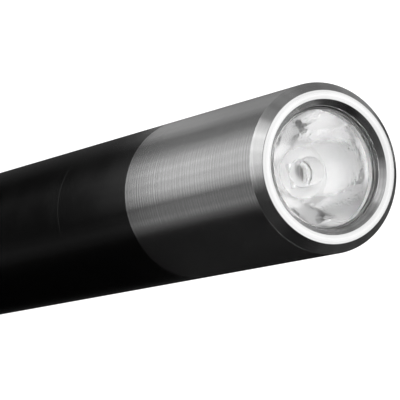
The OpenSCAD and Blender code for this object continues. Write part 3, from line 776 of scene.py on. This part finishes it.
# %% [markdown]
# ## The optic
# The clear block has a flat window, a flange under the gasket, a parabolic side and a pocket for the lamp
# that ends in a nearly flat lens. A parabola is drawn here with many more steps than in the CAD model,
# because glass shows every facet. It keeps a hair's breadth from its neighbours: faces that share one plane
# would flicker.

# %% Mould the optic
HAIR = 0.004
FOCAL_SHARE, BACK_SHARE = 0.227, 0.434
WINDOW_RECESS, FLANGE = 0.75, 0.7
FOCAL = WINDOW_R * FOCAL_SHARE
BACK_R = WINDOW_R * BACK_SHARE
POCKET_R, POCKET_DEPTH, POCKET_BULGE = 1.2, 2.5, 0.04
GASKET_LOW, GASKET_TOP = heights_of("optic_gasket")
WINDOW_Z = FRONT_Z - WINDOW_RECESS
FLANGE_BACK = GASKET_LOW - FLANGE
BACK_Z = heights_of("optic")[0]
SIDE_STEPS, LENS_STEPS = 48, 14


def parabola(grow):
    """Points down the optic's side from its flange to its flat back, set out by grow."""
    for step in range(SIDE_STEPS + 1):
        r = WINDOW_R + (BACK_R - WINDOW_R) * step / SIDE_STEPS
        corner = CRISP if step in (0, SIDE_STEPS) else 0
        yield (r + grow, FLANGE_BACK - (WINDOW_R**2 - r**2) / (4 * FOCAL), corner)


pocket_lens = [
    (r, BACK_Z + POCKET_DEPTH - POCKET_BULGE * (1 - (r / POCKET_R) ** 2), CRISP if r == POCKET_R else 0)
    for r in np.linspace(POCKET_R, 0, LENS_STEPS + 1)
]
optic_section = [
    (0, WINDOW_Z, 0),
    (WINDOW_R, WINDOW_Z, SOFT),
    (WINDOW_R, GASKET_LOW - HAIR, CRISP),
    (STACK_R, GASKET_LOW - HAIR, CRISP),
    (STACK_R, FLANGE_BACK + HAIR, CRISP),
    *parabola(0),
    (POCKET_R, BACK_Z, CRISP),
    *pocket_lens,
]
stand_in(turned_mesh("optic_moulded", optic_section), "optic")

# %% [markdown]
# ## The holder and the gasket
# A white cup holds the optic by its flange and keeps clear of its side, because a side that is touched no
# longer mirrors. The gasket is a rubber ring with an L-shaped section: its foot seals the flange against
# the lip, and its rim fills the gap round the window, where it shows as a dark line.

# %% Mould the holder and press the gasket
HOLDER_GAP = 0.25
BOARD_TOP = heights_of("led_board")[1]
holder_section = [
    (STACK_R, BOARD_TOP + HAIR, SOFT),
    (STACK_R, FLANGE_BACK, SOFT),
    *parabola(HOLDER_GAP),
    (BACK_R + HOLDER_GAP, BOARD_TOP + HAIR, CRISP),
]
stand_in(turned_mesh("optic_holder_moulded", holder_section), "optic_holder")

GASKET_PLAY = 0.03
gasket_section = [
    (STACK_R, GASKET_LOW, CRISP),
    (STACK_R, LIP_Z - HAIR, CRISP),
    (LIP_R - GASKET_PLAY, LIP_Z - HAIR, CRISP),
    (LIP_R - GASKET_PLAY, GASKET_TOP, CRISP),
    (WINDOW_R + GASKET_PLAY, GASKET_TOP, CRISP),
    (WINDOW_R + GASKET_PLAY, GASKET_LOW, CRISP),
]
stand_in(turned_mesh("optic_gasket_pressed", gasket_section), "optic_gasket")

# %% [markdown]
# ## The lamp
# The lamp is a square of white ceramic with a light tile on it and a clear dome cast over the tile.
# The dome is spun like the optic. The flat square pieces are CAD solids that only need softer edges, which a
# bevel modifier gives without touching their meshes.

# %% Cast the dome and break the square edges
DOME_R = reach_of("led_dome")
LAMP_TOP = heights_of("led_base")[1]
dome_arc = [
    (DOME_R * math.cos(a), LAMP_TOP + HAIR + DOME_R * math.sin(a), 0)
    for a in np.radians(np.linspace(0, 90, 17))
]
dome_section = [
    (0, LAMP_TOP + HAIR, 0),
    (DOME_R, LAMP_TOP + HAIR, CRISP),
    *dome_arc[1:-1],
    (0, LAMP_TOP + DOME_R, 0),
]
stand_in(turned_mesh("led_dome_cast", dome_section, around=64), "led_dome")

SQUARE_EDGES = {"led_base": 0.05, "led_die": 0.02, "driver_chip": 0.08}
for node, width in SQUARE_EDGES.items():
    bevel = frame["nodes"][node].modifiers.new("broken_edges", "BEVEL")
    bevel.width = width * MM
    bevel.segments = 2
    bevel.limit_method = "ANGLE"
print("broken edges on", list(SQUARE_EDGES))

# %% [markdown]
# ## Screw threads
# The collar and the tail cap screw into the tube. A thread is a wall whose radius rises and falls along a
# helix. It could be modelled with the Screw modifier, but cutting it into the spun wall keeps the piece one
# closed mesh: the wall gets many rows, and a function moves each point in, or out in a socket, by the depth
# of the helix there.

# %% Cut threads
PITCH = 0.75
ROWS_PER_TURN = 12
RUN_OUT = 0.45
FLANK_SLOPE, ROOT_SHARE = 1.8, 0.4


def thread_rows(radius, low, high):
    """Rows of a wall that is going to carry a thread, from low to high."""
    count = round(abs(high - low) / PITCH * ROWS_PER_TURN)
    return [(radius, z, 0) for z in np.linspace(low, high, count + 1)]


def thread(*walls):
    """A reshape function that cuts a right-hand thread into walls (radius, low, high, depth)."""

    def reshape(radii, angles, heights):
        for wall, low, high, depth in walls:
            inside = (abs(radii - wall) < 1e-6) & (heights >= low) & (heights <= high)
            turns = heights / PITCH - angles / (2 * math.pi)
            ridge = abs(2 * (turns - np.floor(turns)) - 1)
            form = np.clip(FLANK_SLOPE * ridge - ROOT_SHARE, 0, 1)
            fade = np.clip(np.minimum(heights - low, high - heights) / RUN_OUT, 0, 1)
            radii = np.where(inside, radii - depth * form * fade, radii)
        return radii

    return reshape


print("pitch", PITCH, "mm, as the record's couplings say")

# %% [markdown]
# ## The collar
# The black collar joins the head to the tube: a spigot up into the bezel, a plain part that shows, and a
# threaded neck with a groove for a sealing ring. It could be drawn as three cylinders, but one section
# spun round gives all its steps at once.

# %% Turn the collar
TUBE_LOW, TUBE_TOP = heights_of("tube")
NECK_LOW = heights_of("collar")[0]
NECK_R = reach_of("head_seal")
FIT = 0.05
TUBE_WALL, SPIGOT_WALL = 1.55, 1.0
SOCKET_R = NECK_R + FIT
BORE_R = BODY_R - TUBE_WALL
SPIGOT_BORE_R = SPIGOT_R - SPIGOT_WALL
EDGE = 0.03
SEAL_DEPTH, SEAL_HEIGHT = 0.45, 0.8
THREAD_LEAD, THREAD_END, NECK_CHAMFER = 0.35, 0.4, 0.3
NECK_THREAD_DEPTH, SOCKET_THREAD_DEPTH = 0.32, 0.25


def seal_groove(radius, node, upward):
    """Corners of the square groove round a sealing ring."""
    middle = sum(heights_of(node)) / 2
    low, high = middle - SEAL_HEIGHT / 2, middle + SEAL_HEIGHT / 2
    corners = [(radius, low, CRISP), (radius - SEAL_DEPTH, low, CRISP),
               (radius - SEAL_DEPTH, high, CRISP), (radius, high, CRISP)]
    return corners if upward else corners[::-1]


NECK_THREAD = (NECK_LOW + THREAD_LEAD, heights_of("head_seal")[0] - THREAD_END)
collar_section = [
    (SPIGOT_BORE_R, SPIGOT_TOP, CRISP),
    (SPIGOT_R, SPIGOT_TOP, SOFT),
    *seal_groove(SPIGOT_R, "bezel_seal", False),
    (SPIGOT_R, SEAM_Z, CRISP),
    (BODY_R, SEAM_Z, CRISP),
    (BODY_R, TUBE_TOP + EDGE, SHARP),
    (BODY_R - EDGE, TUBE_TOP, SHARP),
    (NECK_R, TUBE_TOP, CRISP),
    *seal_groove(NECK_R, "head_seal", False),
    *thread_rows(NECK_R, NECK_THREAD[1], NECK_THREAD[0]),
    (NECK_R - NECK_CHAMFER, NECK_LOW, CRISP),
    (BORE_R, NECK_LOW, CRISP),
    (BORE_R, SEAM_Z, CRISP),
    (SPIGOT_BORE_R, SEAM_Z, CRISP),
]
neck_thread = thread((NECK_R, *NECK_THREAD, NECK_THREAD_DEPTH))
stand_in(turned_mesh("collar_turned", collar_section, neck_thread), "collar")

# %% [markdown]
# ## The tube
# The tube has a threaded socket at each end and a shallow groove where the clip's band sits. Its ends are
# chamfered like the collar's, so that two pieces that meet show a fine seam line.

# %% Turn the tube
CLIP_START, BAND = 10, 6
CLIP_LOW = TUBE_LOW + CLIP_START
BAND_HIGH = CLIP_LOW + BAND
GROOVE_SIDE, GROOVE_DEPTH = 0.05, 0.3
SOCKET_LEN, SOCKET_LEAD, SOCKET_END = 7.5, 0.6, 0.3
LOW_SOCKET = (TUBE_LOW + SOCKET_LEAD, TUBE_LOW + SOCKET_LEN - SOCKET_END)
TOP_SOCKET = (TUBE_TOP - SOCKET_LEN + SOCKET_END, TUBE_TOP - SOCKET_LEAD)
tube_section = [
    (SOCKET_R, TUBE_TOP, CRISP),
    (BODY_R - EDGE, TUBE_TOP, SHARP),
    (BODY_R, TUBE_TOP - EDGE, SHARP),
    (BODY_R, BAND_HIGH + GROOVE_SIDE, CRISP),
    (BODY_R - GROOVE_DEPTH, BAND_HIGH + GROOVE_SIDE, CRISP),
    (BODY_R - GROOVE_DEPTH, CLIP_LOW - GROOVE_SIDE, CRISP),
    (BODY_R, CLIP_LOW - GROOVE_SIDE, CRISP),
    (BODY_R, TUBE_LOW + EDGE, SHARP),
    (BODY_R - EDGE, TUBE_LOW, SHARP),
    (SOCKET_R, TUBE_LOW, CRISP),
    *thread_rows(SOCKET_R, *LOW_SOCKET),
    (SOCKET_R, TUBE_LOW + SOCKET_LEN, CRISP),
    (BORE_R, TUBE_LOW + SOCKET_LEN, CRISP),
    (BORE_R, TUBE_TOP - SOCKET_LEN, CRISP),
    (SOCKET_R, TUBE_TOP - SOCKET_LEN, CRISP),
    *thread_rows(SOCKET_R, *TOP_SOCKET),
]
socket_threads = thread(
    (SOCKET_R, *LOW_SOCKET, -SOCKET_THREAD_DEPTH), (SOCKET_R, *TOP_SOCKET, -SOCKET_THREAD_DEPTH)
)
stand_in(turned_mesh("tube_turned", tube_section, socket_threads), "tube")

# %% [markdown]
# ## The tail cap
# The cap stands on a flat rim. Four grooves give the fingers a grip, and a flared well leads to the button,
# whose dished face sits just inside the rim, so the light can stand on its tail without switching on.

# %% Turn the tail cap
CAP_TOP = heights_of("tail_cap")[1]
CAP_WALL, BUTTON_STEP, WELL_PLAY = 1.3, 1.1, 0.8
CAP_BORE_R = NECK_R - CAP_WALL
SEAT_Z, BUTTON_FLANGE = heights_of("button_seal")
BUTTON_R = CAP_BORE_R - BUTTON_STEP
BUTTON_FACE, STEM_Z = heights_of("push_button")
WELL_R = BUTTON_R + WELL_PLAY
WELL_DEPTH, FLARE = 2.5, 0.8
RIM_CHAMFER = 0.6
GRIP_COUNT, GRIP_PITCH, GRIP_START = 4, 1.5, 1.6
GRIP_WIDTH, GRIP_DEPTH = 0.7, 0.3
CAP_THREAD = (heights_of("tail_seal")[1] + THREAD_END, CAP_TOP - THREAD_LEAD)

grip = []
for i in reversed(range(GRIP_COUNT)):
    top = TUBE_LOW - GRIP_START - i * GRIP_PITCH
    grip += [(BODY_R, top - GRIP_WIDTH, SOFT), (BODY_R - GRIP_DEPTH, top - GRIP_WIDTH, SOFT),
             (BODY_R - GRIP_DEPTH, top, SOFT), (BODY_R, top, SOFT)]
cap_section = [
    (WELL_R + FLARE, 0, SOFT),
    (BODY_R - RIM_CHAMFER, 0, SOFT),
    (BODY_R, RIM_CHAMFER, SOFT),
    *grip,
    (BODY_R, TUBE_LOW - EDGE, SHARP),
    (BODY_R - EDGE, TUBE_LOW, SHARP),
    (NECK_R, TUBE_LOW, CRISP),
    *seal_groove(NECK_R, "tail_seal", True),
    *thread_rows(NECK_R, *CAP_THREAD),
    (NECK_R - NECK_CHAMFER, CAP_TOP, CRISP),
    (CAP_BORE_R, CAP_TOP, CRISP),
    (CAP_BORE_R, SEAT_Z, CRISP),
    (BUTTON_R + FIT, SEAT_Z, CRISP),
    (BUTTON_R + FIT, WELL_DEPTH, SOFT),
    (WELL_R, WELL_DEPTH, SOFT),
    (WELL_R, FLARE, SOFT),
]
cap_thread = thread((NECK_R, *CAP_THREAD, NECK_THREAD_DEPTH))
stand_in(turned_mesh("tail_cap_turned", cap_section, cap_thread), "tail_cap")

# %% [markdown]
# ## The button
# The button is a moulded plunger with a dished face for the thumb. A flange inside the cap keeps it from
# falling out, and its stem carries the switch's plunger.

# %% Mould the button
DISH_EDGE, DISH_DEPTH, DISH_STEPS, BUTTON_BEVEL = 0.9, 0.35, 13, 0.4
DISH_R = BUTTON_R - DISH_EDGE
FLANGE_PLAY = 0.1
BUTTON_FLANGE_R = (BUTTON_R + CAP_BORE_R) / 2 + FLANGE_PLAY
dish = [
    (r, BUTTON_FACE + DISH_DEPTH * (1 - (r / DISH_R) ** 2), 0)
    for r in np.linspace(0, DISH_R, DISH_STEPS + 1)
]
button_section = [
    *dish,
    (BUTTON_R - BUTTON_BEVEL, BUTTON_FACE, SOFT),
    (BUTTON_R, BUTTON_FACE + BUTTON_BEVEL, SOFT),
    (BUTTON_R, BUTTON_FLANGE, CRISP),
    (BUTTON_FLANGE_R, BUTTON_FLANGE, CRISP),
    (BUTTON_FLANGE_R, STEM_Z, CRISP),
    (0, STEM_Z, 0),
]
stand_in(turned_mesh("push_button_moulded", button_section, around=96), "push_button")

# %% [markdown]
# ## The pocket clip
# The clip is one stamping of spring steel: a band that snaps round the tube and a tongue bent up from it,
# with a pinch and a flared tip. Sheet metal is best drawn as a surface without thickness. A Solidify
# modifier then gives it the sheet's thickness, and a Bevel rounds the stamped edges.

# %% The clip's form
BAND_R = BODY_R - GROOVE_DEPTH + FIT
SHEET = 0.6
BAND_HALF_ANGLE = 125
TONGUE_HALF = 2.25
TONGUE_TOP = heights_of("pocket_clip")[1]
TONGUE_LEN = TONGUE_TOP - BAND_HIGH
FOOT, TIP, TIP_ROUND = 5.0, 3.5, 1.6
CLIP_ROOM, PINCH_ROOM, TIP_LIFT = 1.598, 0.3, 1.098
NARROWING = 0.9
RISE_START, RISE_LEN = 1, 4


def ease_in_out(x):
    """0 to 1 with a soft start and end."""
    x = min(max(x, 0), 1)
    return x * x * (3 - 2 * x)


def tongue_room(h):
    """Room under the tongue at height h above the band."""
    pinch = TONGUE_LEN - TIP
    if h < FOOT:
        return CLIP_ROOM * ease_in_out(h / FOOT)
    if h < pinch:
        return CLIP_ROOM + (PINCH_ROOM - CLIP_ROOM) * ease_in_out((h - FOOT) / (pinch - FOOT))
    return PINCH_ROOM + TIP_LIFT * ((h - pinch) / TIP) ** 2


def clip_point(bearing, z):
    """Middle of the sheet at a bearing from +Y on the band, or at that column and height on the tongue."""
    middle = BAND_R + SHEET / 2
    x, y = middle * math.sin(bearing), middle * math.cos(bearing)
    h = z - BAND_HIGH
    if h > 0:
        round_start = TONGUE_LEN - TIP_ROUND
        narrowed = TIP_ROUND - math.sqrt(max(TIP_ROUND**2 - max(h - round_start, 0) ** 2, 0))
        x *= (TONGUE_HALF - NARROWING * narrowed) / TONGUE_HALF
        plate = BODY_R + FIT + SHEET / 2 + tongue_room(h)
        y += (plate - y) * ease_in_out((h + RISE_START) / RISE_LEN)
    return (x * MM, y * MM, z * MM)


bends = (0, FOOT, TONGUE_LEN - TIP, TONGUE_LEN)
print("room under the tongue in mm:", [round(tongue_room(h), 2) for h in bends])

# %% [markdown]
# ## Stamping the clip
# The sheet is a grid of columns round the band and rows up the tongue, and only the middle columns go on
# above the band. The grid's edges are then the stamping's own outline.

# %% Stamp the clip
SIDE_COLUMNS, TONGUE_COLUMNS = 30, 9
BAND_ROWS, TONGUE_ROWS = 7, 57
STAMPED_EDGE, SHARP_ANGLE = 0.14, 50

half = math.asin(TONGUE_HALF / (BAND_R + SHEET / 2))
side = np.linspace(half, math.radians(BAND_HALF_ANGLE), SIDE_COLUMNS)
tongue_columns = list(np.linspace(-half, half, TONGUE_COLUMNS))
columns = [*(-side[:0:-1]), *tongue_columns, *side[1:]]
first_tongue = len(side) - 1
levels = [
    *np.linspace(CLIP_LOW, BAND_HIGH, BAND_ROWS),
    *np.linspace(BAND_HIGH, TONGUE_TOP, TONGUE_ROWS)[1:],
]
clip_points, at = [], {}
for row, z in enumerate(levels):
    for column, bearing in enumerate(columns):
        if z <= BAND_HIGH or first_tongue <= column < first_tongue + len(tongue_columns):
            at[row, column] = len(clip_points)
            clip_points.append(clip_point(bearing, z))
clip_faces = [
    (at[row, column], at[row, column + 1], at[row + 1, column + 1], at[row + 1, column])
    for row, column in at
    if (row + 1, column + 1) in at and (row + 1, column) in at and (row, column + 1) in at
]
clip_mesh = bpy.data.meshes.new("pocket_clip_stamped")
clip_mesh.from_pydata(clip_points, [], clip_faces)
clip = stand_in(tidy(clip_mesh), "pocket_clip")
thickness = clip.modifiers.new("sheet_thickness", "SOLIDIFY")
thickness.thickness = SHEET * MM
thickness.offset = 0
rounding = clip.modifiers.new("stamped_edges", "BEVEL")
rounding.width = STAMPED_EDGE * MM
rounding.segments = 3
rounding.limit_method = "ANGLE"
rounding.angle_limit = math.radians(SHARP_ANGLE)

# %% [markdown]
# ## Springs
# The two contact springs and the switch spring are round wire wound on a mandrel, with their end turns closed
# so that they sit flat. The wire is a circle carried along a helix whose rise is held back at both ends.
# The switch spring is pressed by the button, and gets a mesh of its own.

# %% Wind the springs
WIRE_SIDES, STEPS_PER_TURN = 12, 32
END_TURNS = 0.8
CLOSED_RISE = 1.04  # a closed end turn rises by this many wires in all


def wound_mesh(name, radius, wire, low, high, turns):
    """A closed wire tube wound between two heights, in millimetres."""
    count = int(turns * STEPS_PER_TURN)
    share = np.linspace(0, turns, count + 1)
    rise = np.clip((share - END_TURNS) / (turns - 2 * END_TURNS), 0, 1)
    started = np.clip(share / END_TURNS, 0, 1)
    ended = np.clip((share - turns) / END_TURNS + 1, 0, 1)
    closed = wire * CLOSED_RISE / 2 * (started + ended)
    free = (high - low - wire) - wire * CLOSED_RISE
    z = low + wire / 2 + closed + free * rise
    angle = 2 * math.pi * share
    out = np.stack([np.cos(angle), np.sin(angle), np.zeros_like(angle)], 1)
    middle = radius * out + np.stack([np.zeros_like(z), np.zeros_like(z), z], 1)
    tilt = np.gradient(middle, axis=0)
    tilt /= np.linalg.norm(tilt, axis=1)[:, None]
    up = np.cross(out, tilt)
    points, faces = [], []
    for i in range(count + 1):
        for k in range(WIRE_SIDES):
            b = 2 * math.pi * k / WIRE_SIDES
            spoke = math.cos(b) * out[i] + math.sin(b) * up[i]
            points.append(tuple((middle[i] + wire / 2 * spoke) * MM))
    for i in range(count):
        for k in range(WIRE_SIDES):
            j = (k + 1) % WIRE_SIDES
            a = i * WIRE_SIDES
            faces.append((a + k, a + j, a + WIRE_SIDES + j, a + WIRE_SIDES + k))
    faces += [tuple(range(WIRE_SIDES)), tuple(count * WIRE_SIDES + k for k in range(WIRE_SIDES))]
    mesh = bpy.data.meshes.new(name)
    mesh.from_pydata(points, [], faces)
    return tidy(mesh)


def wound(name, node, radius, wire, turns):
    """A spring in the place of a CAD node, between the node's own ends."""
    low, high = heights_of(node)
    return stand_in(wound_mesh(name, radius, wire, low, high, turns), node)


wound("contact_spring_wound", "contact_spring", radius=2.1, wire=0.5, turns=4.6)
wound("tail_spring_wound", "tail_spring", radius=2.1, wire=0.5, turns=4.2)
switch_spring = wound("switch_spring_wound", "switch_spring", radius=1.85, wire=0.4, turns=4.0)
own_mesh(switch_spring)

# %% [markdown]
# ## The pieces that keep their CAD shape
# Seals, cells, boards, contacts and the switch case are right as they are, and they show only when the
# light is taken apart. They keep their CAD meshes and only get their finishes, by the material slots in the
# record.

# %% Finish the remaining nodes
kept = [name for name, node in frame["nodes"].items() if not node.hide_render]
for name in kept:
    node = frame["nodes"][name]
    node.data.materials.clear()
    node.data.materials.append(FINISH[SLOT_OF[name]])
print("kept CAD pieces:", ", ".join(sorted(kept)))
